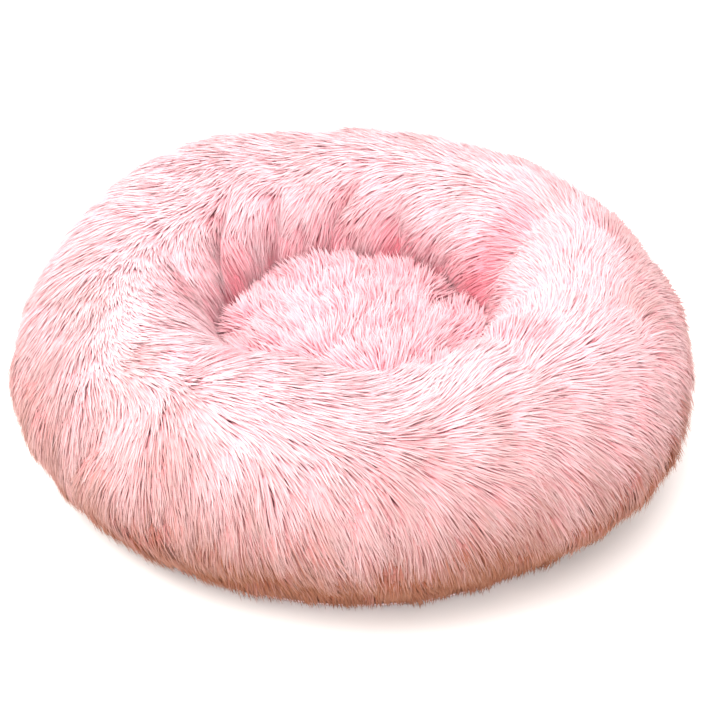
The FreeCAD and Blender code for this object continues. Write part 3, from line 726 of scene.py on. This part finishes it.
# Painted shade: locks rooted in the folds' creases on the inner wall and low in the nest keep less of the
# pale tip colour, so these recesses are pinker and darker; lower-lying locks keep less too, painted shade far
# down in the pile. Along the parting they keep more, painted light against its shade.
painted_crease_shade = np.clip(fold_depth(root_turn, lean_degrees) / 0.009, 0, 1) * (lean_degrees > 100)
painted_nest_shade = np.clip((lean_degrees - 135) / 45, 0, 1)
near_hem = np.clip((lean_degrees + 68) / 26, 0.2, 1)
lying = 0.036 * rng.uniform(0.8, 1.15, count) * (1 + 0.12 * tuft_value) * (1 - 0.2 * parting) * near_hem
layer = rng.uniform(0, 1, count) ** 0.45
lift = (0.0125 + 0.0052 * layer + 0.0014 * soft_noise(root_place, 0.03, 23)) * (1 - 0.4 * parting)
lift = lift * np.clip(0.3 + 0.7 * (lean_degrees + 62) / 24, 0.3, 1)
lift = lift * (1 - 0.22 * np.exp(-(angle_gap(root_turn, -170) / 48) ** 4 - ((lean_degrees - 85) / 45) ** 4))
tip_paleness_and_painted_shade = 0.52 + 0.48 * layer + 0.2 * parting - 0.45 * painted_crease_shade - 0.6 * painted_nest_shade + rng.normal(0, 0.05, count)
tip_paleness_and_painted_shade = np.clip(tip_paleness_and_painted_shade, 0.15, 1)
tip_lift = rng.normal(0.0, 0.0013, count)
paths, ups = lock_paths(ring_surface, root_turn, root_lean, nap, lying, lift, tip_lift,
                        (step_turn, step_lean), 0.42)
radial = np.hypot(paths[..., 0], paths[..., 1])
heading = np.arctan2(paths[..., 1], paths[..., 0])
outer = (root_lean < np.radians(60))[:, None]
low_down = np.clip((0.020 - paths[..., 2]) / 0.01, 0, 1)
least_radius = 0.2475 + (0.002 + 0.003 * rng.uniform(0, 1, count)[:, None]) * STATIONS
radial = np.where(outer & (radial < least_radius), radial + low_down * (least_radius - radial), radial)
hang_floor = 0.005 + rng.uniform(0, 0.004, count)[:, None] * STATIONS
paths[..., 2] = np.where(outer, np.maximum(paths[..., 2], hang_floor), paths[..., 2])
paths[..., 0] = radial * np.cos(heading)
paths[..., 1] = radial * np.sin(heading)
girth = 0.00102 * rng.uniform(0.75, 1.3, count) * (1 + 0.2 * parting)
# Painted warm shade: the pile's colour is turned towards tan low on the outside of the ring. The tan is
# strongest at the floor and gone by 170 mm up. It is two fifths weaker at the back, and weaker on the
# left, the side of the key lamp, than on the right.
painted_low_shade = np.interp(root_place[:, 2], [0.0, 0.06, 0.10, 0.13, 0.155, 0.17],
                      [1.0, 0.97, 0.80, 0.42, 0.14, 0.0])
painted_low_shade = painted_low_shade * (0.80 + 0.20 * np.cos(root_turn + np.radians(70)))
shade = 0.06 + painted_low_shade * (root_lean < np.radians(85)) + 0.05 * tuft_value
shade = shade + 0.05 * soft_noise(root_place, 0.05, 25) + rng.normal(0, 0.05, count)
sector = np.floor(((root_turn + np.pi) % (2 * np.pi)) / (np.pi / 4)).astype(int)
for number in range(8):
    mine = sector == number
    lock_piece(f"bolster_pile_{number + 1}", paths[mine], ups[mine], girth[mine], shade[mine],
               tip_paleness_and_painted_shade[mine], number)


# ---- Pile of the pad ------------------------------------------------------------------------
# The pad's nap stands taller and fans out from its front edge towards the sides and the back wall.
pad_gap = 0.0019
steps = np.arange(-0.124, 0.124, pad_gap)
pad_first, pad_second = [axis.ravel() for axis in np.meshgrid(steps, steps)]
rng = np.random.default_rng(31)
pad_first = pad_first + rng.normal(0, 0.4 * pad_gap, len(pad_first))
pad_second = pad_second + rng.normal(0, 0.4 * pad_gap, len(pad_second))
kept = np.hypot(pad_first, pad_second) < 0.1225
pad_first, pad_second = pad_first[kept], pad_second[kept]
count = len(pad_first)
pad_place = pad_surface(pad_first, pad_second)
step_x, step_y, tuft_value = tufts(pad_first + 4, pad_second + 4, lambda second: 1.0, 0.0100, 1.0, 36)
fan = np.arctan2(pad_second + 0.075, pad_first - 0.025) + np.pi / 2
fan = fan + np.radians(20 * soft_noise(pad_place, 0.08, 33) + 10 * soft_noise(pad_place, 0.03, 34)
                       + rng.normal(0, 10, count) + 8 * tuft_value)
room = np.clip((0.130 - np.hypot(pad_first, pad_second)) / 0.03, 0.3, 1)
lying = 0.023 * rng.uniform(0.75, 1.2, count) * (1 + 0.15 * tuft_value) * room
layer = rng.uniform(0, 1, count) ** 0.6
lift = 0.0165 + 0.0070 * layer + 0.003 * soft_noise(pad_place, 0.03, 35)
# Painted shade: near the rim, where the pad meets the wall, and in lower-lying locks, less of the pale tip
# colour is kept, so these are pinker and darker.
painted_nest_shade = np.clip((np.hypot(pad_first, pad_second) - 0.105) / 0.02, 0, 1)
tip_paleness_and_painted_shade = np.clip(0.38 + 0.48 * layer - 0.25 * painted_nest_shade + rng.normal(0, 0.05, count), 0.15, 1)
tip_lift = rng.normal(-0.001, 0.0025, count)
paths, ups = lock_paths(pad_surface, pad_first, pad_second, fan, lying, lift, tip_lift, (step_x, step_y), 0.5)
girth = 0.00105 * rng.uniform(0.75, 1.3, count)
shade = 0.05 + 0.04 * soft_noise(pad_place, 0.05, 37) + 0.04 * tuft_value + rng.normal(0, 0.04, count)
lock_piece("pad_pile", paths, ups, girth, shade, tip_paleness_and_painted_shade, 9)
